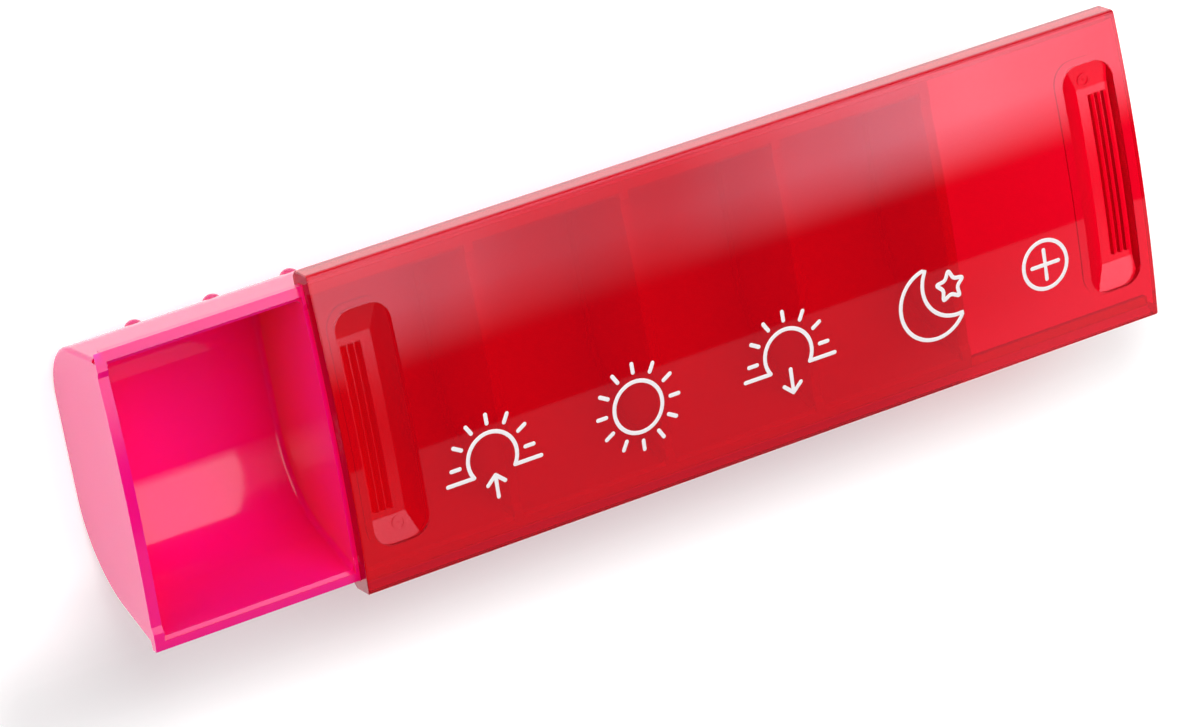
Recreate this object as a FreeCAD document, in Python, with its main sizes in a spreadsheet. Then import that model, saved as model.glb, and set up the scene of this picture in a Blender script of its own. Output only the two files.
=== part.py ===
import FreeCAD, Part
import math
import os
import PartDesign
import Sketcher

# Day tray with five pill rooms and a clear lid that slides on its two long rims.
# X runs along the tray, Y from the front to the back, Z up from the flat bottom.
# The origin lies on the bottom, half way along the tray and under the middle of the lid's width.

Vector = FreeCAD.Vector

# Sizes that can be set one by one, in millimetres and degrees
driving = [
    ("trayLength", "125", "tray from end face to end face"),
    ("trayHeight", "17.9", "flat bottom to the top of the rails"),
    ("firstRoom", "28.0", "clear length of the wide first room"),
    ("dayCount", "4", "equal rooms beside the first one"),
    ("endWall", "1.5", "wall at each end of the tray"),
    ("divider", "1.3", "wall between two rooms"),
    ("wall", "1.1", "front and back wall"),
    ("floorWall", "1.2", "bottom under the rooms"),
    ("backDraft", "3.5", "lean of the back wall, degrees"),
    ("frontDraft", "21.6", "lean of the front wall, degrees"),
    ("backRadius", "9", "round from the back wall to the bottom, outside"),
    ("frontRadius", "14.5", "round from the front wall to the bottom, outside"),
    ("railReach", "0.85", "how far a rail stands out from its wall"),
    ("railHeight", "1.15", "height of a rail"),
    ("rimFlare", "0.5", "width of the lead-in along the inner rim"),
    ("rimFlareDrop", "0.35", "depth of the lead-in along the inner rim"),
    ("rampRun", "0.9", "ramps beside the rails, across the tray"),
    ("rebateLength", "1.0", "notch at the back end of a rail, along the tray"),
    ("rebateWidth", "1.4", "notch at the back end of a rail, across the tray"),
    ("endRound", "0.6", "round along the edge of an end face"),
    ("roomRound", "0.8", "round in the corners at the ends of the wide room"),
    ("roomBevel", "0.5", "bevel in the corners at the ends of an equal room"),
    ("dotCount", "3", "feel dots along the back, at the wide room"),
    ("dotMargin", "11.0", "end face to the first feel dot"),
    ("dotPitch", "11.35", "one feel dot to the next"),
    ("dotWidth", "2.6", "feel dot, diameter at its foot"),
    ("dotRise", "0.75", "feel dot, height"),
    ("dotAngle", "30", "feel dots sit this far under the level of the round's centre, degrees"),
    ("lidLength", "125", "lid, end to end"),
    ("lidWidth", "45", "lid, outside"),
    ("crownRise", "1.3", "height of the lid's crown over its long edges"),
    ("plate", "2.0", "thickness of the lid's plate"),
    ("skirt", "1.55", "thickness of the lid's skirts"),
    ("lipThick", "1.1", "thickness of the lips that hook under the rails"),
    ("lipChamfer", "0.9", "chamfer along the foot of a skirt"),
    ("edgeRound", "0.55", "round along the lid's long top edges"),
    ("endEdge", "0.2", "round along the lid's short top edges"),
    ("sideClear", "0.15", "gap between a rail and its skirt"),
    ("topClear", "0.2", "gap between the rails and the plate"),
    ("lipClear", "0.15", "gap between a rail and its lip"),
    ("reachClear", "0.3", "gap between a lip and the tray's wall"),
    ("lidOpening", "29.9", "how far the lid stands open"),
    ("gripEdge", "2.1", "end of the lid to the thumb recess"),
    ("gripWidth", "8.2", "thumb recess, along the lid"),
    ("gripLength", "33.2", "thumb recess, across the lid"),
    ("gripCorner", "2.8", "corner radius of the thumb recess"),
    ("gripDepth", "1.35", "depth of the thumb recess"),
    ("gripFloor", "1.0", "plastic left under the thumb recess"),
    ("gripClear", "0.3", "gap between the swelling and the dividers"),
    ("gripFlat", "5.0", "level part of the recess floor, along the lid"),
    ("gripLevel", "25.6", "level part of the recess floor, across the lid"),
    ("gripEndDepth", "0.65", "depth of the thumb recess at its two ends"),
    ("gripLean", "0.4", "run of the recess's steep wall"),
    ("gripMargin", "0.5", "the swelling under the plate is this much larger all round"),
    ("ribCount", "3", "ribs in a thumb recess"),
    ("ribPitch", "1.05", "one rib to the next"),
    ("ribRise", "0.5", "height of a rib over the floor"),
    ("ribSpan", "23.6", "length of a rib"),
    ("ribStart", "0.75", "recess edge to the first rib"),
    ("ringPlace", "14.1", "mould mark, distance from the middle of the lid"),
    ("ringRadius", "0.85", "mould mark, radius of its ring"),
    ("ringBead", "0.14", "mould mark, half the width of its ring"),
]

# Sizes that follow from the ones above
derived = [
    ("trayHalf", "=trayLength / 2", "half the tray"),
    ("lidHalfLength", "=lidLength / 2", "half the lid, along"),
    ("lidHalf", "=lidWidth / 2", "half the lid, across"),
    ("channelHalf", "=lidHalf - skirt", "inside of a skirt"),
    ("railHalf", "=channelHalf - sideClear", "outside of a rail"),
    ("wallHalf", "=railHalf - railReach", "outside of a wall, under its rail"),
    ("lipHalf", "=wallHalf + reachClear", "inner edge of a lip"),
    ("crownRadius", "=(lidHalf ^ 2 + crownRise ^ 2) / (2 * crownRise)", "top of the plate"),
    ("underRadius", "=crownRadius - plate", "underside of the plate"),
    ("rimRadius", "=underRadius - topClear", "top of the rims, under the plate"),
    ("gripFloorRadius", "=crownRadius - gripDepth", "recess floor, from the crown's axis"),
    ("bossRadius", "=gripFloorRadius - gripFloor", "underside of the swelling"),
    ("dividerRadius", "=bossRadius - gripClear", "top of the dividers, under the swelling"),
    ("crownDepth", "=sqrt(underRadius ^ 2 - railHalf ^ 2) - trayHeight - topClear",
     "depth of the crown's axis under the bottom"),
    ("rimTop", "=sqrt(rimRadius ^ 2 - railHalf ^ 2) - crownDepth", "rim over the rail's outside"),
    ("railUnder", "=rimTop - railHeight", "underside of the rails"),
    ("lipTop", "=railUnder - lipClear", "top of the lips"),
    ("lipUnder", "=lipTop - lipThick", "underside of the lips"),
    ("chamferTop", "=lipUnder + lipChamfer", "top of the skirt's chamfer"),
    ("chamferFoot", "=lidHalf - lipChamfer", "foot of the skirt's chamfer"),
    ("plateTop", "=crownRadius - crownDepth", "top of the lid in its middle"),
    ("plateUnder", "=underRadius - crownDepth", "underside of the plate in its middle"),
    ("plateEdge", "=sqrt(crownRadius ^ 2 - lidHalf ^ 2) - crownDepth", "top of the lid at its edge"),
    ("channelTop", "=sqrt(underRadius ^ 2 - channelHalf ^ 2) - crownDepth", "plate at the skirt"),
    ("backFoot", "=wallHalf - railUnder * tan(backDraft)", "back wall's line at the bottom"),
    ("frontFoot", "=wallHalf - railUnder * tan(frontDraft)", "front wall's line at the bottom"),
    ("flareFoot", "=rimTop - rimFlareDrop", "foot of the lead-in"),
    ("roomTop", "=plateTop + plate", "rooms are cut up to here"),
    ("roomBackFoot", "=backFoot + floorWall * tan(backDraft) - wall / cos(backDraft)",
     "room's back, at its floor"),
    ("roomFrontFoot", "=frontFoot + floorWall * tan(frontDraft) - wall / cos(frontDraft)",
     "room's front, at its floor"),
    ("roomBackTop", "=backFoot + flareFoot * tan(backDraft) - wall / cos(backDraft)",
     "room's back, under the lead-in"),
    ("roomFrontTop", "=frontFoot + flareFoot * tan(frontDraft) - wall / cos(frontDraft)",
     "room's front, under the lead-in"),
    ("roomBackSky", "=backFoot + roomTop * tan(backDraft) - wall / cos(backDraft)",
     "room's back, over the tray"),
    ("roomFrontSky", "=frontFoot + roomTop * tan(frontDraft) - wall / cos(frontDraft)",
     "room's front, over the tray"),
    ("flareBack", "=roomBackTop + rimFlare", "inner rim at the back"),
    ("flareFront", "=roomFrontTop + rimFlare", "inner rim at the front"),
    ("roomBackRadius", "=backRadius - wall", "round at the back of a room"),
    ("roomFrontRadius", "=frontRadius - wall", "round at the front of a room"),
    ("gripHalf", "=gripLength / 2", "half the recess"),
    ("bossHalf", "=gripHalf + gripMargin", "half the swelling"),
    ("rampInner", "=bossHalf + gripClear", "half the lowered part of the dividers"),
    ("rampOuter", "=rampInner + rampRun", "half width where the ramps reach full height"),
    ("rampFoot", "=sqrt(dividerRadius ^ 2 - rampInner ^ 2) - crownDepth", "foot of the ramps"),
    ("rampTop", "=sqrt(rimRadius ^ 2 - rampOuter ^ 2) - crownDepth", "top of the ramps"),
    ("dayRoom", "=(trayLength - 2 * endWall - firstRoom - dayCount * divider) / dayCount",
     "clear length of each equal room"),
    ("dayPitch", "=dayRoom + divider", "one equal room to the next"),
    ("dayReach", "=dayPitch * (dayCount - 1)", "first equal room to the last"),
    ("firstStart", "=endWall - trayHalf", "start of the first room"),
    ("dayStart", "=firstStart + firstRoom + divider", "start of the first equal room"),
    ("backCentre", "=backFoot - backRadius * tan((90 - backDraft) / 2)", "centre of the back round"),
    ("dotSphere", "=(dotWidth ^ 2 / 4 + dotRise ^ 2) / (2 * dotRise)", "sphere of a feel dot"),
    ("dotReach", "=backRadius + dotRise - dotSphere", "round's centre to a dot's centre"),
    ("dotY", "=backCentre + dotReach * cos(dotAngle)", "feel dots, place across"),
    ("dotZ", "=backRadius - dotReach * sin(dotAngle)", "feel dots, height"),
    ("dotTurn", "=90 + dotAngle", "a dot's pole turned out of the round, degrees"),
    ("dotStart", "=dotMargin - trayHalf", "first feel dot"),
    ("dotSpan", "=dotPitch * (dotCount - 1)", "first feel dot to the last"),
    ("rebateX", "=0 - trayHalf", "notch, its end face"),
    ("rebateY", "=railHalf - rebateWidth", "notch, its inner side"),
    ("gripStart", "=gripEdge - lidHalfLength", "outer edge of the recess"),
    ("gripLeanEnd", "=gripStart + gripLean", "foot of the steep wall"),
    ("gripFlatEnd", "=gripLeanEnd + gripFlat", "end of the level floor"),
    ("gripEnd", "=gripStart + gripWidth", "inner edge of the recess"),
    ("gripSkyRadius", "=crownRadius + plate", "the recess is cut from here"),
    ("gripSky", "=plateTop + plate", "the recess's ramps are cut from here"),
    ("levelHalf", "=gripLevel / 2", "half the level part of the floor, where its ramps start"),
    ("levelFloor", "=sqrt(gripFloorRadius ^ 2 - levelHalf ^ 2) - crownDepth", "floor where a ramp starts"),
    ("endFloor", "=sqrt((crownRadius - gripEndDepth) ^ 2 - gripHalf ^ 2) - crownDepth",
     "floor at the end of the recess"),
    ("gripRise", "=(endFloor - levelFloor) / (gripHalf - levelHalf)", "rise of a ramp per millimetre"),
    ("gripPast", "=gripHalf + plate", "the ramps run out past the recess, to here"),
    ("pastFloor", "=levelFloor + gripRise * (gripPast - levelHalf)", "height of a ramp out there"),
    ("bossTopRadius", "=crownRadius - plate / 2", "the swelling starts inside the plate"),
    ("gripSweep", "=(gripLength + 2 * plate) / crownRadius * 180 / pi", "turn of the floor, degrees"),
    ("ribSweep", "=ribSpan / crownRadius * 180 / pi", "turn of a rib, degrees"),
    ("ribFootRadius", "=gripFloorRadius - gripFloor / 2", "ribs start inside the floor"),
    ("ribTopRadius", "=gripFloorRadius + ribRise", "top of a rib"),
    ("ribLow", "=gripStart + ribStart", "start of the first rib"),
    ("ribHigh", "=ribLow + 0.7 * ribPitch", "top of the first rib"),
    ("ribBack", "=ribLow + 0.9 * ribPitch", "end of the first rib"),
    ("ribReach", "=ribPitch * (ribCount - 1)", "first rib to the last"),
    ("bossStart", "=gripStart - gripMargin", "outer edge of the swelling"),
    ("bossEnd", "=gripEnd + gripMargin", "inner edge of the swelling"),
    ("bossCorner", "=gripCorner + gripMargin", "corner radius of the swelling"),
    ("prismFoot", "=plateUnder - 3 * plate", "prisms round the recess start here"),
    ("prismHeight", "=6 * plate", "height of those prisms"),
    ("ringOuter", "=ringRadius + ringBead", "mould mark, outside of its ring"),
    ("ringInner", "=ringRadius - ringBead", "mould mark, inside of its ring"),
    ("ringHeight", "=2 * ringBead", "mould mark, height of its ring, half of it in the floor"),
    ("ringX", "=gripLeanEnd + gripFlat - ringRadius - 3 * ringBead", "mould mark, place along"),
    ("ringTilt", "=gripRise * 180 / pi", "mould mark, lean with its ramp, degrees"),
    ("ringZ", "=levelFloor + gripRise * (ringPlace - levelHalf)", "mould mark, height"),
    ("ringFoot", "=ringZ - ringBead", "foot of the mould mark's ring"),
]

doc = FreeCAD.newDocument("day_tray")
sheet = doc.addObject("Spreadsheet::Sheet", "sizes")
for row, (alias, content, meaning) in enumerate(driving + derived, start=1):
    sheet.set(f"A{row}", meaning)
    sheet.set(f"B{row}", content)
    sheet.setAlias(f"B{row}", alias)
doc.recompute()


def size(name):
    """Value of a size, negative where its name has a minus sign."""
    if name == "0":
        return 0.0
    if name.startswith("-"):
        return -float(getattr(sheet, name[1:]))
    return float(getattr(sheet, name))


def bind(thing, prop, name):
    """Tie a property to a size of the sheet."""
    expression = f"-sizes.{name[1:]}" if name.startswith("-") else f"sizes.{name}"
    thing.setExpression(prop, expression)


def plane(body, role):
    """One of a body's own origin planes or axes."""
    return next(item for item in body.Origin.OriginFeatures if item.Role == role)


def new_sketch(body, name, role, lift=None):
    """Sketch on an origin plane, lifted along its normal by a size."""
    sketch = body.newObject("Sketcher::SketchObject", name)
    sketch.AttachmentSupport = [(plane(body, role), "")]
    sketch.MapMode = "FlatFace"
    if lift:
        bind(sketch, "AttachmentOffset.Base.z", lift)
    return sketch


def pin_point(sketch, edge, end, kind, axis, name):
    """Hold one coordinate of a sketch point at a size."""
    if name == "0":
        sketch.addConstraint(Sketcher.Constraint("PointOnObject", edge, end, axis))
        return
    value = size(name)
    if name.startswith("-"):
        constraint = Sketcher.Constraint(kind, edge, end, -1, 1, -value)
    else:
        constraint = Sketcher.Constraint(kind, -1, 1, edge, end, value)
    index = sketch.addConstraint(constraint)
    label = f"{kind}{edge}at{end}"
    sketch.renameConstraint(index, label)
    bind(sketch, f"Constraints.{label}", name.lstrip("-"))


def outline(sketch, corners, crowned=(), rounds=()):
    """Closed outline through named corners.

    A crowned edge is an arc about the crown's axis. A round is a corner's number and its radius.
    """
    points = [Vector(size(across), size(up), 0) for across, up in corners]
    centre = Vector(0, -size("crownDepth"), 0)
    count = len(points)
    ends = []
    for index in range(count):
        start = points[index]
        end = points[(index + 1) % count]
        edge = Part.LineSegment(start, end)
        leftward = True
        if index in crowned:
            # An arc runs anticlockwise, so over the crown from right to left
            leftward = start.x > end.x
            right, left = (start, end) if leftward else (end, start)
            angles = [math.atan2(point.y - centre.y, point.x - centre.x) for point in (right, left)]
            circle = Part.Circle(centre, Vector(0, 0, 1), (right - centre).Length)
            edge = Part.ArcOfCircle(circle, angles[0], angles[1])
        sketch.addGeometry(edge, False)
        ends.append((1, 2) if leftward else (2, 1))
    for index in range(count):
        after = (index + 1) % count
        sketch.addConstraint(
            Sketcher.Constraint("Coincident", index, ends[index][1], after, ends[after][0]))
    for index in crowned:
        pin_point(sketch, index, 3, "DistanceY", -1, "-crownDepth")
    for index, (across, up) in enumerate(corners):
        pin_point(sketch, index, ends[index][0], "DistanceX", -2, across)
        pin_point(sketch, index, ends[index][0], "DistanceY", -1, up)
    for corner, radius in rounds:
        sketch.fillet(corner, ends[corner][0], size(radius), True, True)
        arc = sketch.GeometryCount - 2
        index = sketch.addConstraint(Sketcher.Constraint("Radius", arc, size(radius)))
        sketch.renameConstraint(index, f"Round{corner}")
        bind(sketch, f"Constraints.Round{corner}", radius)


def pad(body, name, sketch, length, midplane=False):
    """Pad of a sketch to a length of the sheet."""
    feature = body.newObject("PartDesign::Pad", name)
    feature.Profile = sketch
    feature.Midplane = midplane
    bind(feature, "Length", length)
    return feature


def pocket(body, name, sketch, length=None):
    """Pocket along the sketch's normal, or both ways through all with no length."""
    before = body.Shape.Volume
    feature = body.newObject("PartDesign::Pocket", name)
    feature.Profile = sketch
    if length:
        feature.Reversed = True
        bind(feature, "Length", length)
    else:
        feature.Type = "ThroughAll"
        feature.Midplane = True
    doc.recompute()
    if body.Shape.Volume >= before:
        raise RuntimeError(f"{name} cuts nothing")
    return feature


def edges_where(feature, test):
    """Names of a feature's edges that pass a test."""
    return [f"Edge{number}" for number, edge in enumerate(feature.Shape.Edges, start=1) if test(edge)]


def dress(kind, prop, body, name, base, test, value):
    """Fillet or chamfer on the edges that pass a test."""
    names = edges_where(base, test)
    if not names:
        raise RuntimeError(f"{name} finds no edge")
    feature = body.newObject(f"PartDesign::{kind}", name)
    feature.Base = (base, names)
    feature.Refine = False
    bind(feature, prop, value)
    doc.recompute()
    return feature


def fillet(body, name, base, test, radius):
    """Round on the edges that pass a test."""
    return dress("Fillet", "Radius", body, name, base, test, radius)


def bevel(body, name, base, test, width):
    """Chamfer on the edges that pass a test."""
    return dress("Chamfer", "Size", body, name, base, test, width)


def along_x(edge, across, up):
    """True for an edge that runs along X at a place across and up."""
    box = edge.BoundBox
    return (box.XLength > 1 and box.YLength < 1e-4 and box.ZLength < 1e-4
            and abs(box.YMin - size(across)) < 1e-3 and abs(box.ZMin - size(up)) < 1e-3)


def revolution(body, name, sketch, sweep):
    """Revolve a sketch about the crown's axis, evenly to both sides."""
    feature = body.newObject("PartDesign::Revolution", name)
    feature.Profile = sketch
    feature.ReferenceAxis = (sketch, ["H_Axis"])
    feature.Midplane = True
    bind(feature, "Angle", sweep)
    return feature


# Tray: its section with the rails, padded along the tray, then rounded

tray = doc.addObject("PartDesign::Body", "tray_body")
tray.Label = "tray"
section = new_sketch(tray, "tray_section", "YZ_Plane")
outline(section, [
    ("-frontFoot", "0"), ("backFoot", "0"), ("wallHalf", "railUnder"), ("railHalf", "railUnder"),
    ("railHalf", "rimTop"), ("-railHalf", "rimTop"), ("-railHalf", "railUnder"),
    ("-wallHalf", "railUnder")], crowned=[4])
block = pad(tray, "tray_block", section, "trayLength", midplane=True)
doc.recompute()
back_round = fillet(tray, "back_round", block, lambda edge: along_x(edge, "backFoot", "0"), "backRadius")
front_round = fillet(
    tray, "front_round", back_round, lambda edge: along_x(edge, "-frontFoot", "0"), "frontRadius")


def end_outline(edge):
    """Outside edges of the two end faces, up to the rails."""
    box = edge.BoundBox
    at_end = box.XLength < 1e-4 and abs(abs(box.XMin) - size("trayHalf")) < 1e-4
    return at_end and edge.CenterOfMass.z < size("railUnder") - 1e-3


fillet(tray, "end_round", front_round, end_outline, "endRound")

# Feel dots on the round at the back; the rooms are cut later, so none stands inside


dot = tray.newObject("PartDesign::AdditiveSphere", "feel_dot")
bind(dot, "Radius", "dotSphere")
bind(dot, "Placement.Base.x", "dotStart")
bind(dot, "Placement.Base.y", "dotY")
bind(dot, "Placement.Base.z", "dotZ")
dot.Placement.Rotation = FreeCAD.Rotation(Vector(-1, 0, 0), 0)
bind(dot, "Placement.Rotation.Angle", "dotTurn")
doc.recompute()
dots = tray.newObject("PartDesign::LinearPattern", "feel_dots")
dots.Originals = [dot]
dots.Direction = (plane(tray, "X_Axis"), [""])
bind(dots, "Length", "dotSpan")
bind(dots, "Occurrences", "dotCount")
tray.Tip = dots
doc.recompute()

# Rooms: one wide room, then equal rooms in a pattern


def room(name, start, length, corners, rounds=()):
    """Pocket along a room, from its start to its end."""
    profile = new_sketch(tray, f"{name}_profile", "YZ_Plane", lift=start)
    outline(profile, corners, rounds=rounds)
    return pocket(tray, name, profile, length)


def day_rooms(name, source):
    """The equal rooms, as a pattern of one."""
    pattern = tray.newObject("PartDesign::LinearPattern", name)
    pattern.Originals = [source]
    pattern.Direction = (plane(tray, "X_Axis"), [""])
    bind(pattern, "Length", "dayReach")
    bind(pattern, "Occurrences", "dayCount")
    tray.Tip = pattern
    doc.recompute()
    return pattern


room_corners = [
    ("-roomFrontFoot", "floorWall"), ("roomBackFoot", "floorWall"), ("roomBackSky", "roomTop"),
    ("-roomFrontSky", "roomTop")]
room_rounds = [(0, "roomFrontRadius"), (1, "roomBackRadius")]
room("first_room", "firstStart", "firstRoom", room_corners, room_rounds)
rooms = day_rooms("day_rooms", room("day_room", "dayStart", "dayRoom", room_corners, room_rounds))


def room_end(edge):
    """Edges where a room meets a divider or an end wall."""
    box = edge.BoundBox
    inside = box.XLength < 1e-4 and abs(box.XMin) < size("trayHalf") - size("endWall") + 1e-3
    tall = box.ZLength > size("wall") or box.ZMax < size("floorWall") + 1e-3
    under_rim = abs(edge.CenterOfMass.z) < size("railUnder")
    return inside and tall and under_rim and box.ZMin > size("floorWall") - 1e-3


def first_room_end(edge):
    """Those edges in the wide room."""
    return room_end(edge) and edge.BoundBox.XMax < size("dayStart") - 1e-3


def day_room_end(edge):
    """Those edges in the equal rooms."""
    return room_end(edge) and edge.BoundBox.XMin > size("dayStart") - 1e-3


first_rounds = fillet(tray, "first_room_round", rooms, first_room_end, "roomRound")
bevel(tray, "day_room_bevel", first_rounds, day_room_end, "roomBevel")

# Lead-in along the inner rims

lead_corners = [
    ("-roomFrontTop", "flareFoot"), ("roomBackTop", "flareFoot"), ("flareBack", "rimTop"),
    ("flareBack", "roomTop"), ("-flareFront", "roomTop"), ("-flareFront", "rimTop")]
room("first_lead", "firstStart", "firstRoom", lead_corners)
day_rooms("day_leads", room("day_lead", "dayStart", "dayRoom", lead_corners))

# Dividers and end walls stay clear of the thumb recesses, between ramps beside the rails

lowered = new_sketch(tray, "divider_tops", "YZ_Plane")
outline(lowered, [
    ("rampInner", "rampFoot"), ("rampOuter", "rampTop"), ("rampOuter", "roomTop"),
    ("-rampOuter", "roomTop"), ("-rampOuter", "rampTop"), ("-rampInner", "rampFoot")], crowned=[5])
pocket(tray, "lowered_tops", lowered)

rebate = tray.newObject("PartDesign::SubtractiveBox", "rail_notch")
bind(rebate, "Length", "rebateLength")
bind(rebate, "Width", "rebateWidth")
bind(rebate, "Height", "railHeight")
bind(rebate, "Placement.Base.x", "rebateX")
bind(rebate, "Placement.Base.y", "rebateY")
bind(rebate, "Placement.Base.z", "railUnder")
doc.recompute()
notches = tray.newObject("PartDesign::Mirrored", "rail_notches")
notches.Originals = [rebate]
notches.MirrorPlane = (plane(tray, "YZ_Plane"), [""])
tray.Tip = notches
doc.recompute()

# Lid: half its section, padded along the lid and mirrored

lid_shell = doc.addObject("PartDesign::Body", "lid_shell")
half = new_sketch(lid_shell, "lid_half_section", "YZ_Plane")
outline(half, [
    ("0", "plateUnder"), ("channelHalf", "channelTop"), ("channelHalf", "lipTop"), ("lipHalf", "lipTop"),
    ("lipHalf", "lipUnder"), ("chamferFoot", "lipUnder"), ("lidHalf", "chamferTop"),
    ("lidHalf", "plateEdge"), ("0", "plateTop")], crowned=[0, 7])
half_pad = pad(lid_shell, "lid_half", half, "lidLength", midplane=True)
doc.recompute()
whole = lid_shell.newObject("PartDesign::Mirrored", "lid_whole")
whole.Originals = [half_pad]
whole.MirrorPlane = (plane(lid_shell, "XZ_Plane"), [""])
lid_shell.Tip = whole
doc.recompute()


def long_top_edge(edge):
    """The lid's two long top edges."""
    return along_x(edge, "lidHalf", "plateEdge") or along_x(edge, "-lidHalf", "plateEdge")


long_round = fillet(lid_shell, "long_edge_round", whole, long_top_edge, "edgeRound")


def short_top_edge(edge):
    """The crowned top edges at the lid's two ends."""
    box = edge.BoundBox
    at_end = box.XLength < 1e-4 and abs(abs(box.XMin) - size("lidHalfLength")) < 1e-4
    return at_end and box.YLength > size("lidHalf") / 2 and box.ZMax > size("plateTop") - 1e-3


fillet(lid_shell, "short_edge_round", long_round, short_top_edge, "endEdge")

# Thumb recess at the lid's left end: floor, swelling under the plate and ribs are turned about the
# crown's axis, rounded prisms give the recess and the swelling their outlines, and the floor
# ramps up at both ends


def turned(name, corners, sweep):
    """Body turned about the crown's axis from corners given along the lid and out from the axis."""
    body = doc.addObject("PartDesign::Body", name)
    sketch = new_sketch(body, f"{name}_profile", "XZ_Plane")
    bind(sketch, "AttachmentOffset.Base.y", "-crownDepth")
    outline(sketch, corners)
    revolution(body, f"{name}_turn", sketch, sweep)
    doc.recompute()
    return body


def rounded_prism(name, start, end, half_width, corner):
    """Upright prism over a rounded rectangle."""
    body = doc.addObject("PartDesign::Body", name)
    sketch = new_sketch(body, f"{name}_plan", "XY_Plane", lift="prismFoot")
    outline(sketch, [
        (start, f"-{half_width}"), (end, f"-{half_width}"), (end, half_width), (start, half_width)],
        rounds=[(index, corner) for index in range(4)])
    pad(body, f"{name}_pad", sketch, "prismHeight")
    doc.recompute()
    return body


def common(name, first, second):
    """Common part of two bodies."""
    shape = doc.addObject("Part::Common", name)
    shape.Base = first
    shape.Tool = second
    return shape


floor_cut = turned("recess_floor", [
    ("gripStart", "gripSkyRadius"), ("gripStart", "crownRadius"), ("gripLeanEnd", "gripFloorRadius"),
    ("gripFlatEnd", "gripFloorRadius"), ("gripEnd", "crownRadius"), ("gripEnd", "gripSkyRadius")],
    "gripSweep")
straight_recess = common(
    "straight_recess", floor_cut,
    rounded_prism("recess_outline", "gripStart", "gripEnd", "gripHalf", "gripCorner"))
ramps = doc.addObject("PartDesign::Body", "recess_ramps")
ramp_section = new_sketch(ramps, "ramp_section", "YZ_Plane")
outline(ramp_section, [
    ("-gripPast", "pastFloor"), ("-levelHalf", "levelFloor"), ("levelHalf", "levelFloor"),
    ("gripPast", "pastFloor"), ("gripPast", "gripSky"), ("-gripPast", "gripSky")])
pad(ramps, "ramp_pad", ramp_section, "lidLength", midplane=True)
recess = common("recess", straight_recess, ramps)

boss_ring = turned("swelling_floor", [
    ("bossStart", "bossRadius"), ("bossEnd", "bossRadius"), ("bossEnd", "bossTopRadius"),
    ("bossStart", "bossTopRadius")], "gripSweep")
boss = common(
    "swelling", boss_ring,
    rounded_prism("swelling_outline", "bossStart", "bossEnd", "bossHalf", "bossCorner"))

ribs = doc.addObject("PartDesign::Body", "ribs")
tooth = new_sketch(ribs, "rib_profile", "XZ_Plane")
bind(tooth, "AttachmentOffset.Base.y", "-crownDepth")
outline(tooth, [
    ("ribLow", "ribFootRadius"), ("ribBack", "ribFootRadius"), ("ribBack", "gripFloorRadius"),
    ("ribHigh", "ribTopRadius"), ("ribLow", "gripFloorRadius")])
first_rib = revolution(ribs, "first_rib", tooth, "ribSweep")
doc.recompute()
rib_row = ribs.newObject("PartDesign::LinearPattern", "rib_row")
rib_row.Originals = [first_rib]
rib_row.Direction = (plane(ribs, "X_Axis"), [""])
bind(rib_row, "Length", "ribReach")
bind(rib_row, "Occurrences", "ribCount")
ribs.Tip = rib_row

# Mould mark: a low ring with a centre point on a ramp of the recess, at opposite ends in the two

ring_outer = doc.addObject("Part::Cylinder", "mark_outer")
ring_inner = doc.addObject("Part::Cylinder", "mark_inner")
point = doc.addObject("Part::Cylinder", "mark_point")
bind(ring_outer, "Radius", "ringOuter")
bind(ring_inner, "Radius", "ringInner")
bind(point, "Radius", "ringBead")
for mark in (ring_outer, ring_inner, point):
    bind(mark, "Placement.Base.x", "ringX")
    bind(mark, "Placement.Base.y", "-ringPlace")
    bind(mark, "Height", "ringHeight")
    bind(mark, "Placement.Base.z", "ringFoot")
    mark.Placement.Rotation = FreeCAD.Rotation(Vector(-1, 0, 0), 0)
    bind(mark, "Placement.Rotation.Angle", "ringTilt")
ring = doc.addObject("Part::Cut", "mark_ring")
ring.Base = ring_outer
ring.Tool = ring_inner
doc.recompute()


def mirrored(name, source, normal=Vector(1, 0, 0)):
    """The same at the lid's other end, or across it."""
    copy = doc.addObject("Part::Mirroring", name)
    copy.Source = source
    copy.Normal = normal
    copy.Base = Vector(0, 0, 0)
    return copy


def joined(name, shapes):
    """Several shapes as one."""
    fusion = doc.addObject("Part::MultiFuse", name)
    fusion.Shapes = shapes
    return fusion


swollen = joined("swollen_lid", [lid_shell, boss, mirrored("right_swelling", boss)])
hollowed = doc.addObject("Part::Cut", "hollowed_lid")
hollowed.Base = swollen
hollowed.Tool = joined("recesses", [recess, mirrored("right_recess", recess)])
back_ring = mirrored("back_ring", ring, Vector(0, 1, 0))
back_point = mirrored("back_point", point, Vector(0, 1, 0))
marks = [ring, point, mirrored("right_ring", back_ring), mirrored("right_point", back_point)]
lid = joined("lid_moulding", [hollowed, ribs, mirrored("right_ribs", ribs)] + marks)
lid.Label = "lid"
bind(lid, "Placement.Base.x", "lidOpening")
doc.recompute()

# Check the document, then write one file per piece

for thing in doc.Objects:
    if "Invalid" in thing.State or "Error" in thing.State:
        raise RuntimeError(f"{thing.Name} failed: {thing.State}")
os.makedirs("parts", exist_ok=True)
for piece in (tray, lid):
    shape = piece.Shape
    if shape.isNull() or not shape.isValid() or len(shape.Solids) != 1:
        raise RuntimeError(f"{piece.Label} isn't one valid solid")
    shape.exportStep(f"parts/{piece.Label}.step")
    box = shape.BoundBox
    print(piece.Label, round(shape.Volume), "mm3,",
          f"{box.XLength:.2f} x {box.YLength:.2f} x {box.ZLength:.2f}", "faces", len(shape.Faces))
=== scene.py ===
import math

import bpy
from mathutils import Matrix, Vector


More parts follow.
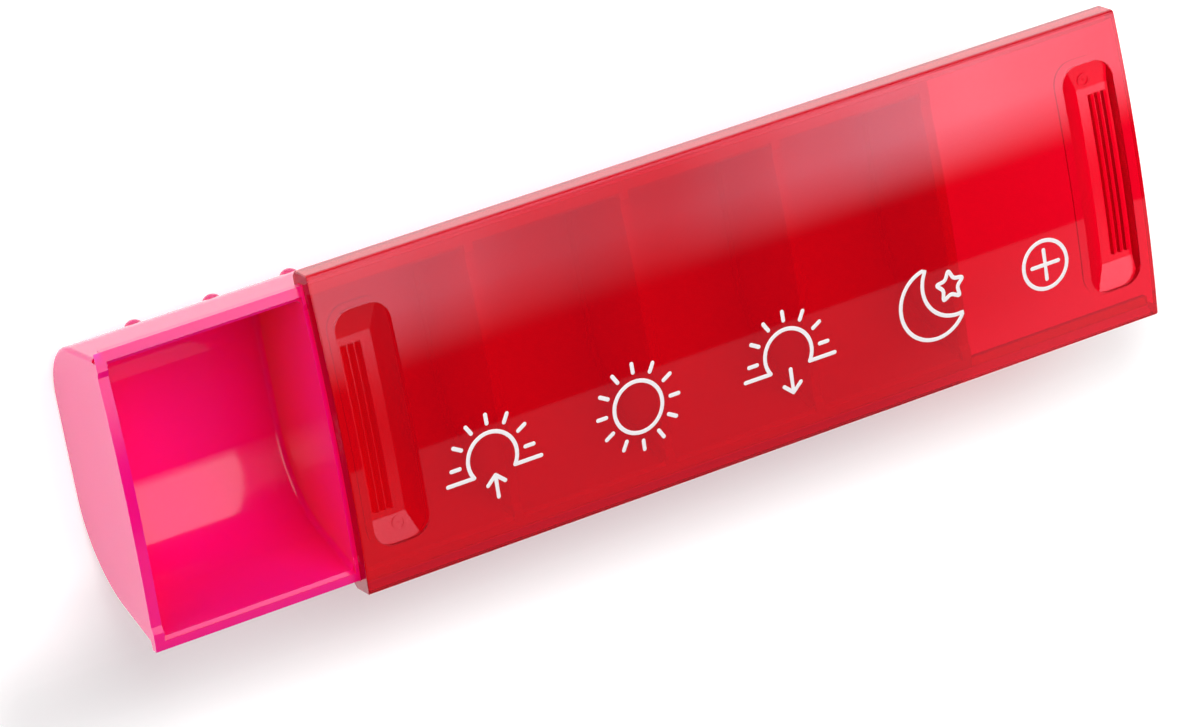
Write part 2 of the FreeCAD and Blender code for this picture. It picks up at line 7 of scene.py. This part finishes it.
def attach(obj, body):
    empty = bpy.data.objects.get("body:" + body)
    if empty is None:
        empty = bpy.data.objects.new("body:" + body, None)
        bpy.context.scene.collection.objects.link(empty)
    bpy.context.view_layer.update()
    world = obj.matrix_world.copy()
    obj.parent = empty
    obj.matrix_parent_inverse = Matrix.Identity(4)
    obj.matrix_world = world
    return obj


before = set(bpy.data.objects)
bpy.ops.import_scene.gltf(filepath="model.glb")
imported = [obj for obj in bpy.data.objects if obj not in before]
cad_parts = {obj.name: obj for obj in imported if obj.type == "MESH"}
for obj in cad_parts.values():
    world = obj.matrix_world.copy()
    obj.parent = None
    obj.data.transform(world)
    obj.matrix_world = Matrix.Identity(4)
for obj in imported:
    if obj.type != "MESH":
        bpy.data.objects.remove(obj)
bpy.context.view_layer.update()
mm = 0.001
crown = {"radius": 195.36, "depth": 174.14}  # the lid's upper face in mm: an arc, its middle this deep below zero
print("frame loaded:", sorted(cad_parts))

# Where the photograph was taken from, in mm, and the picture's right and up in the part's axes
shot = {
    "place": (-300.8, 254.1, 683.4),
    "right": (0.86779, -0.16951, 0.46713),
    "up": (0.29967, 0.92838, -0.21980),
    "lens": 174.8,
    "sensor": 36.0,
    "nearest": 0.01,
}

bpy.ops.object.camera_add(location=[value * mm for value in shot["place"]])
camera = bpy.context.object
camera.name = "productCamera"
camera.data.lens = shot["lens"]
camera.data.sensor_width = shot["sensor"]
camera.data.clip_start = shot["nearest"]
right = Vector(shot["right"]).normalized()
back = right.cross(Vector(shot["up"])).normalized()
up = back.cross(right)
camera.rotation_euler = Matrix((right, up, back)).transposed().to_euler()
bpy.context.scene.camera = camera
print("camera placed")


def setInputs(node, values):
    for socketName, value in values.items():
        node.inputs[socketName].default_value = value


# One math node, given plain numbers or the outputs of other nodes
def addMath(nodes, link, operation, *values):
    step = nodes.new("ShaderNodeMath")
    step.operation = operation
    for socket, value in zip(step.inputs, values):
        if isinstance(value, float):
            socket.default_value = value
        else:
            link(value, socket)
    return step.outputs["Value"]


def newMaterial(name):
    material = bpy.data.materials.new(name)
    material.use_nodes = True
    return material, material.node_tree.nodes, material.node_tree.links.new


# Moulded finish: long faint waves from the mould and a fine uneven polish
def makeMouldFinish():
    group = bpy.data.node_groups.new("mouldFinish", "ShaderNodeTree")
    for socketName, value in (("Roughness", 0.2), ("Unevenness", 0.04), ("Wave Size", 60.0), ("Polish Size", 900.0)):
        socket = group.interface.new_socket(name=socketName, in_out="INPUT", socket_type="NodeSocketFloat")
        socket.default_value = value
    for socketName in ("Roughness", "Height"):
        group.interface.new_socket(name=socketName, in_out="OUTPUT", socket_type="NodeSocketFloat")
    nodes, link = group.nodes, group.links.new
    given, result = nodes.new("NodeGroupInput"), nodes.new("NodeGroupOutput")
    place = nodes.new("ShaderNodeTexCoord")
    wave = nodes.new("ShaderNodeTexNoise")
    polish = nodes.new("ShaderNodeTexNoise")
    for noise, size, detail in ((wave, "Wave Size", 1.0), (polish, "Polish Size", 3.0)):
        noise.inputs["Detail"].default_value = detail
        link(place.outputs["Object"], noise.inputs["Vector"])
        link(given.outputs[size], noise.inputs["Scale"])
    spread = addMath(nodes, link, "MULTIPLY", polish.outputs["Fac"], given.outputs["Unevenness"])
    link(addMath(nodes, link, "ADD", spread, given.outputs["Roughness"]), result.inputs["Roughness"])
    link(wave.outputs["Fac"], result.inputs["Height"])
    return group


mouldFinish = makeMouldFinish()


def addMouldFinish(nodes, link, finishValues, bumpValues):
    finish = nodes.new("ShaderNodeGroup")
    finish.node_tree = mouldFinish
    setInputs(finish, finishValues)
    bump = nodes.new("ShaderNodeBump")
    setInputs(bump, bumpValues)
    shader = nodes["Principled BSDF"]
    link(finish.outputs["Roughness"], shader.inputs["Roughness"])
    link(finish.outputs["Height"], bump.inputs["Height"])
    link(bump.outputs["Normal"], shader.inputs["Normal"])


# Opaque pink moulding of the tray, with painted shade: an occlusion mask makes it redder where its walls shelter
# each other
pink = {
    "color": (0.97, 0.003, 0.25, 1.0),
    "deepColor": (0.95, 0.002, 0.225, 1.0),
    "cloudSize": 35.0,
    "paintedShadeColor": (0.97, 0.001, 0.06, 1.0),
    "paintedShadeReach": 0.02,
    "paintedShadeSamples": 8,
    "paintedShadeRange": {"From Min": 0.95, "From Max": 0.25},
    "plastic": {"IOR": 1.5, "Subsurface Weight": 0.6, "Subsurface Radius": (1.0, 0.2, 0.6),
                "Subsurface Scale": 0.0015, "Sheen Weight": 0.10, "Sheen Roughness": 0.4},
    "finish": {"Roughness": 0.08, "Unevenness": 0.05, "Wave Size": 55.0},
    "bump": {"Strength": 0.5, "Distance": 0.00002},
}
trayPink, nodes, link = newMaterial("trayPink")
shader = nodes["Principled BSDF"]
setInputs(shader, pink["plastic"])
addMouldFinish(nodes, link, pink["finish"], pink["bump"])
cloud = nodes.new("ShaderNodeTexNoise")
cloud.inputs["Scale"].default_value = pink["cloudSize"]
place = nodes.new("ShaderNodeTexCoord")
blend = nodes.new("ShaderNodeMix")
blend.data_type = "RGBA"
setInputs(blend, {"A": pink["color"], "B": pink["deepColor"]})
link(place.outputs["Object"], cloud.inputs["Vector"])
link(cloud.outputs["Fac"], blend.inputs["Factor"])
# Painted shade: ambient occlusion turns the colour a deeper red in the enclosed rooms and corners
paintedShadeOcclusion = nodes.new("ShaderNodeAmbientOcclusion")
paintedShadeOcclusion.samples = pink["paintedShadeSamples"]
paintedShadeOcclusion.only_local = True
paintedShadeOcclusion.inputs["Distance"].default_value = pink["paintedShadeReach"]
paintedShadeAmount = nodes.new("ShaderNodeMapRange")
setInputs(paintedShadeAmount, pink["paintedShadeRange"])
paintedShadeMix = nodes.new("ShaderNodeMix")
paintedShadeMix.data_type = "RGBA"
paintedShadeMix.inputs["B"].default_value = pink["paintedShadeColor"]
link(paintedShadeOcclusion.outputs["AO"], paintedShadeAmount.inputs["Value"])
link(paintedShadeAmount.outputs["Result"], paintedShadeMix.inputs["Factor"])
link(blend.outputs["Result"], paintedShadeMix.inputs["A"])
link(paintedShadeMix.outputs["Result"], shader.inputs["Base Color"])

# Clear red moulding of the lid: a strong tint where light crosses its faces and a weak one in its depth
red = {
    "plastic": {"Base Color": (0.94, 0.0006, 0.022, 1.0), "Transmission Weight": 0.78, "IOR": 1.49,
                "Specular Tint": (1.0, 0.75, 0.95, 1.0)},
    "finish": {"Roughness": 0.02, "Unevenness": 0.02, "Wave Size": 40.0},
    "bump": {"Strength": 0.5, "Distance": 0.00001},
    "shade": {"Color": (0.80, 0.02, 0.10, 1.0)},
    "depth": {"Color": (0.55, 0.10, 0.30, 1.0), "Density": 200.0},
    "satin": 0.15,
    "gripMiddle": 0.0299,  # half way between the two recesses, in metres as the rest of them
    "gripPlace": (0.0566, 0.0042),
    "gripAcross": (0.0, 0.0166),
    "gripDepth": (0.0009, 0.0007),
}
lidRed, nodes, link = newMaterial("lidRed")
shader = nodes["Principled BSDF"]
setInputs(shader, red["plastic"])
addMouldFinish(nodes, link, red["finish"], red["bump"])

# The two thumb recesses are satin: what lies in them, and below the crown, is roughened
place = nodes.new("ShaderNodeTexCoord")
axes = nodes.new("ShaderNodeSeparateXYZ")
link(place.outputs["Object"], axes.inputs["Vector"])
along, across, above = axes.outputs


def lidMath(operation, *values):
    return addMath(nodes, link, operation, *values)


fromMiddle = lidMath("ABSOLUTE", lidMath("SUBTRACT", along, red["gripMiddle"]))
inGrip = lidMath("MULTIPLY", lidMath("COMPARE", fromMiddle, *red["gripPlace"]),
                 lidMath("COMPARE", across, *red["gripAcross"]))
height = lidMath("ADD", above, crown["depth"] * mm)
squares = lidMath("MULTIPLY_ADD", height, height, lidMath("MULTIPLY", across, across))
belowCrown = lidMath("MULTIPLY_ADD", lidMath("SQRT", squares), -1.0, crown["radius"] * mm)
inGrip = lidMath("MULTIPLY", inGrip, lidMath("COMPARE", belowCrown, *red["gripDepth"]))
polished = shader.inputs["Roughness"].links[0].from_socket
link(lidMath("MULTIPLY_ADD", inGrip, red["satin"], polished), shader.inputs["Roughness"])

# Lamps shine through the lid as plainly tinted light, and the body of the plastic deepens the colour
lightPath = nodes.new("ShaderNodeLightPath")
passing = nodes.new("ShaderNodeBsdfTransparent")
setInputs(passing, red["shade"])
choice = nodes.new("ShaderNodeMixShader")
body = nodes.new("ShaderNodeVolumeAbsorption")
setInputs(body, red["depth"])
link(lightPath.outputs["Is Shadow Ray"], choice.inputs["Fac"])
link(shader.outputs["BSDF"], choice.inputs[1])
link(passing.outputs["BSDF"], choice.inputs[2])
link(choice.outputs["Shader"], nodes["Material Output"].inputs["Surface"])
link(body.outputs["Volume"], nodes["Material Output"].inputs["Volume"])

# White pad print
ink = {
    "color": (0.92, 0.88, 0.90, 1.0),
    "finish": {"Roughness": 0.35, "Unevenness": 0.1, "Wave Size": 400.0},
    "bump": {"Strength": 0.5, "Distance": 0.000005},
}
whiteInk, nodes, link = newMaterial("whiteInk")
nodes["Principled BSDF"].inputs["Base Color"].default_value = ink["color"]
addMouldFinish(nodes, link, ink["finish"], ink["bump"])

for node, material in (("tray", trayPink), ("lid", lidRed)):
    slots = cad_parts[node].data.materials
    slots.clear()
    slots.append(material)
print("materials made")

# Pictograms printed in a row on the lid, in mm from each one's middle: rings, rays, arrows, moon, star and plus
marks = {
    "row": -9.35,
    "along": {"sunrise": -12.02, "sun": 10.22, "sunset": 33.64, "moon": 56.79, "plus": 75.06},
    "stroke": 0.58,
    "strokeRounding": 3,
    "tipSteps": 4,
    "tipWidth": 0.02,
    "rise": 0.028,
    "smoothAngle": 40,
    "ring": 3.65,
    "rays": (4.95, 6.2),
    "rayTurn": 30,
    "horizon": -1.95,
    "groundEnd": 7.05,
    "arrowUp": (-2.5, -5.65),  # tip and tail
    "arrowDown": (-5.6, -2.2),
    "arrowHead": (1.3, 0.9),  # half its width, and its height as a share of that
    "moonOuter": {"centre": (0, 0), "radius": 5.18, "start": 98.0, "end": 327.0, "count": 60},
    "moonInner": {"centre": (3.53, 2.25), "radius": 4.91, "start": 283.0, "end": 147.0, "count": 40},
    "starPlace": (2.97, 1.68),
    "starRadii": (2.3, 1.15),
    "starSoftness": 0.45,
    "plusRing": 3.5,
    "plusArm": 2.15,
}


def spoke(angle, radius):
    return radius * math.cos(angle), radius * math.sin(angle)


def arc(centre, radius, start, end, count=48):
    turn = [math.radians(start + (end - start) * step / count) for step in range(count + 1)]
    return [(centre[0] + radius * math.cos(angle), centre[1] + radius * math.sin(angle)) for angle in turn]


def ring(radius):
    return arc((0, 0), radius, 0, 352.5, 47)


def rays(lastAngle):
    angles = range(0, lastAngle + 1, marks["rayTurn"])
    return [[spoke(math.radians(angle), radius) for radius in marks["rays"]] for angle in angles]


def arrow(tip, tail):
    side, lean = marks["arrowHead"]
    head = tip + (lean if tip < tail else -lean) * side
    return [[(0, tail), (0, tip)], [(-side, head), (0, tip)], [(side, head), (0, tip)]]


# Outline with each corner drawn as a small arc
def softCorners(points, reach, count=6):
    soft = []
    for index, corner in enumerate(points):
        corner = Vector(corner)
        before = Vector(points[index - 1])
        after = Vector(points[(index + 1) % len(points)])
        start = corner + (before - corner).normalized() * reach
        end = corner + (after - corner).normalized() * reach
        for step in range(count + 1):
            part = step / count
            soft.append(tuple(start.lerp(corner, part).lerp(corner.lerp(end, part), part)))
    return soft


# A stroke along the points, with a round tip at each end of an open one
def addStroke(curve, points, closed):
    half = marks["stroke"] / 2
    places = [Vector(point) for point in points]
    widths = [1.0] * len(places)
    if not closed:
        starting = (places[0] - places[1]).normalized()
        ending = (places[-1] - places[-2]).normalized()
        for step in range(1, marks["tipSteps"] + 1):
            angle = math.radians(90 / marks["tipSteps"] * step)
            reach = math.sin(angle)
            width = max(math.cos(angle), marks["tipWidth"])
            places.insert(0, Vector(points[0]) + starting * half * reach)
            places.append(Vector(points[-1]) + ending * half * reach)
            widths.insert(0, width)
            widths.append(width)
    line = curve.splines.new("POLY")
    line.points.add(len(places) - 1)
    line.use_cyclic_u = closed
    for point, place, width in zip(line.points, places, widths):
        point.co = (place.x, place.y, 0.0, 1.0)
        point.radius = width


# The strokes become a mesh, are pressed flat and are laid on the lid's crown
def printMark(name, openLines=(), outlines=()):
    curve = bpy.data.curves.new(name + "Mark", "CURVE")
    curve.dimensions = "3D"
    curve.bevel_depth = marks["stroke"] / 2
    curve.bevel_resolution = marks["strokeRounding"]
    curve.use_fill_caps = True
    for points in openLines:
        addStroke(curve, points, False)
    for points in outlines:
        addStroke(curve, points, True)
    mark = bpy.data.objects.new(name + "Mark", curve)
    bpy.context.collection.objects.link(mark)
    bpy.ops.object.select_all(action="DESELECT")
    mark.select_set(True)
    bpy.context.view_layer.objects.active = mark
    bpy.ops.object.convert(target="MESH")
    for vertex in mark.data.vertices:
        x = vertex.co.x + marks["along"][name]
        y = vertex.co.y + marks["row"]
        surface = math.sqrt(crown["radius"] ** 2 - y ** 2) - crown["depth"]
        z = surface + vertex.co.z * 2 * marks["rise"] / marks["stroke"]
        vertex.co = (x * mm, y * mm, z * mm)
    bpy.ops.object.shade_smooth_by_angle(angle=math.radians(marks["smoothAngle"]))
    mark.data.materials.clear()
    mark.data.materials.append(whiteInk)
    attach(mark, "lid")


horizon, groundEnd = marks["horizon"], marks["groundEnd"]
foot = math.degrees(math.asin(-horizon / marks["ring"]))
footX = math.sqrt(marks["ring"] ** 2 - horizon ** 2)
lowSun = [arc((0, 0), marks["ring"], -foot, 180 + foot),
          [(footX, horizon), (groundEnd, horizon)], [(-footX, horizon), (-groundEnd, horizon)]] + rays(180)
printMark("sunrise", lowSun + arrow(*marks["arrowUp"]))
printMark("sun", rays(359), [ring(marks["ring"])])
printMark("sunset", lowSun + arrow(*marks["arrowDown"]))

crescent = arc(**marks["moonOuter"])[1:] + arc(**marks["moonInner"])[1:]
starX, starY = marks["starPlace"]
star = []
for step in range(10):
    reachX, reachY = spoke(math.radians(90 + 36 * step), marks["starRadii"][step % 2])
    star.append((starX + reachX, starY + reachY))
printMark("moon", [], [crescent, softCorners(star, marks["starSoftness"])])
arm = marks["plusArm"]
printMark("plus", [[(-arm, 0), (arm, 0)], [(0, -arm), (0, arm)]], [ring(marks["plusRing"])])
print("pictograms printed")

# Studio: a pale floor with a painted contact shadow in front of the tray, a softbox overhead with a bright front
# strip, a weak front panel and one fill from the left
studio = {
    "floorSize": 6.0,
    "floorDrop": 0.00005,
    "floor": {"Base Color": (0.88, 0.88, 0.88, 1.0), "Roughness": 0.7, "Specular IOR Level": 0.1,
              "Emission Color": (1.0, 1.0, 1.0, 1.0)},
    "floorThrough": 0.50,  # glow seen through the lid, and mirrored in it
    "floorMirrored": 0.85,
    "paintedShadowMiddle": (0.010, -0.031, 0.0),  # painted shadow: the glow fades towards a line in front of the tray
    "paintedShadowHalf": (0.085, 0.0, 0.0),
    "paintedShadowFade": {"From Min": 0.0, "From Max": 0.020, "To Min": 0.06, "To Max": 0.56},
    "world": {"Color": (1.0, 1.0, 1.0, 1.0), "Strength": 0.03},
    "glossyBounces": 8,
}
stripProfile = [(-0.35, 0.30), (0.15, 0.40), (0.26, 0.55), (0.29, 0.44), (0.315, 0.28), (0.355, 0.24), (0.38, 0.43),
                (0.405, 0.65), (0.43, 0.87), (0.455, 1.0), (0.48, 0.87), (0.505, 0.76), (0.75, 0.60)]
panelProfile = [(0.10, 0.36), (0.45, 0.42), (0.55, 0.9), (0.80, 0.9)]
lamps = {
    "softboxTop": {"place": (0.20, 0.50, 0.75), "aim": (0.20, 0.50, 0.0), "size": (1.10, 1.0), "glow": 2.6},
    "softboxRim": {"place": (0.20, -0.11, 0.75), "aim": (0.20, -0.11, 0.0), "size": (1.10, 0.22), "glow": 5.4,
                   "edge": (-0.22, -0.12), "profile": stripProfile},
    "frontPanel": {"place": (0.45, -0.632, 0.75), "aim": (0.45, -0.632, 0.0), "size": (0.70, 0.60), "glow": 0.9,
                   "profile": panelProfile},
    "softboxLeft": {"place": (-0.9, 0.1, 0.25), "aim": (0.0, 0.0, 0.0), "size": (0.7, 0.4), "glow": 3.8},
}

bpy.ops.mesh.primitive_plane_add(size=studio["floorSize"], location=(0, 0, -studio["floorDrop"]))
floor = bpy.context.object
floor.name = "studioFloor"
bpy.ops.object.transform_apply(location=True, rotation=True, scale=True)
floorWhite, nodes, link = newMaterial("floorWhite")
shader = nodes["Principled BSDF"]
setInputs(shader, studio["floor"])
# Painted contact shadow: the glow the camera sees fades near a line in front of the tray
place = nodes.new("ShaderNodeTexCoord")
away = place.outputs["Object"]
for operation, reach in (("SUBTRACT", studio["paintedShadowMiddle"]), ("ABSOLUTE", None),
                         ("SUBTRACT", studio["paintedShadowHalf"]), ("MAXIMUM", (0.0, 0.0, 0.0))):
    step = nodes.new("ShaderNodeVectorMath")
    step.operation = operation
    link(away, step.inputs[0])
    if reach:
        step.inputs[1].default_value = reach
    away = step.outputs["Vector"]
distance = nodes.new("ShaderNodeVectorMath")
distance.operation = "LENGTH"
link(away, distance.inputs[0])
paintedShadowFade = nodes.new("ShaderNodeMapRange")
paintedShadowFade.interpolation_type = "SMOOTHSTEP"
setInputs(paintedShadowFade, studio["paintedShadowFade"])
link(distance.outputs["Value"], paintedShadowFade.inputs["Value"])

# Refracted rays count as glossy too, so the mirrored share leaves them out
lightPath = nodes.new("ShaderNodeLightPath")
isThrough = lightPath.outputs["Is Transmission Ray"]
seen = addMath(nodes, link, "MULTIPLY", lightPath.outputs["Is Camera Ray"], paintedShadowFade.outputs["Result"])
through = addMath(nodes, link, "MULTIPLY_ADD", isThrough, studio["floorThrough"], seen)
reflected = addMath(nodes, link, "SUBTRACT", lightPath.outputs["Is Glossy Ray"], isThrough)
reflected.node.use_clamp = True
link(addMath(nodes, link, "MULTIPLY_ADD", reflected, studio["floorMirrored"], through),
     shader.inputs["Emission Strength"])
floor.data.materials.append(floorWhite)


# Light through a lamp's cloth: uneven along X, and soft at its front edge
def gradeLamp(light, lamp):
    light.use_nodes = True
    nodes, link = light.node_tree.nodes, light.node_tree.links.new
    glow = nodes["Emission"]
    spot = nodes.new("ShaderNodeNewGeometry")
    axes = nodes.new("ShaderNodeSeparateXYZ")
    link(spot.outputs["Position"], axes.inputs["Vector"])
    stops = lamp["profile"]
    start, end = stops[0][0], stops[-1][0]
    across = nodes.new("ShaderNodeMapRange")
    setInputs(across, {"From Min": start, "From Max": end})
    link(axes.outputs["X"], across.inputs["Value"])
    ramp = nodes.new("ShaderNodeValToRGB")
    ramp.color_ramp.interpolation = "EASE"
    for index, (along, level) in enumerate(stops):
        part = (along - start) / (end - start)
        if index in (0, 1):
            stop = ramp.color_ramp.elements[index]
            stop.position = part
        else:
            stop = ramp.color_ramp.elements.new(part)
        stop.color = (level, level, level, 1.0)
    link(across.outputs["Result"], ramp.inputs["Fac"])
    link(ramp.outputs["Color"], glow.inputs["Color"])
    if "edge" in lamp:
        fade = nodes.new("ShaderNodeMapRange")
        fade.interpolation_type = "SMOOTHSTEP"
        setInputs(fade, dict(zip(("From Min", "From Max"), lamp["edge"])))
        link(axes.outputs["Y"], fade.inputs["Value"])
        link(fade.outputs["Result"], glow.inputs["Strength"])


for name, lamp in lamps.items():
    bpy.ops.object.light_add(type="AREA", location=lamp["place"])
    light = bpy.context.object
    light.name = name
    light.data.shape = "RECTANGLE"
    width, length = lamp["size"]
    light.data.size, light.data.size_y = width, length
    light.data.energy = lamp["glow"] * math.pi * width * length  # so that glow is how bright it looks
    light.visible_transmission = False
    if "profile" in lamp:
        gradeLamp(light.data, lamp)
    facing = Vector(lamp["aim"]) - Vector(lamp["place"])
    light.rotation_euler = facing.to_track_quat("-Z", "Y").to_euler()

world = bpy.data.worlds.new("studioWorld")
bpy.context.scene.world = world
world.use_nodes = True
setInputs(world.node_tree.nodes["Background"], studio["world"])
bpy.context.scene.view_settings.view_transform = "Standard"
bpy.context.scene.cycles.glossy_bounces = studio["glossyBounces"]  # fewer leave black edges in the clear lid
print("studio lit")
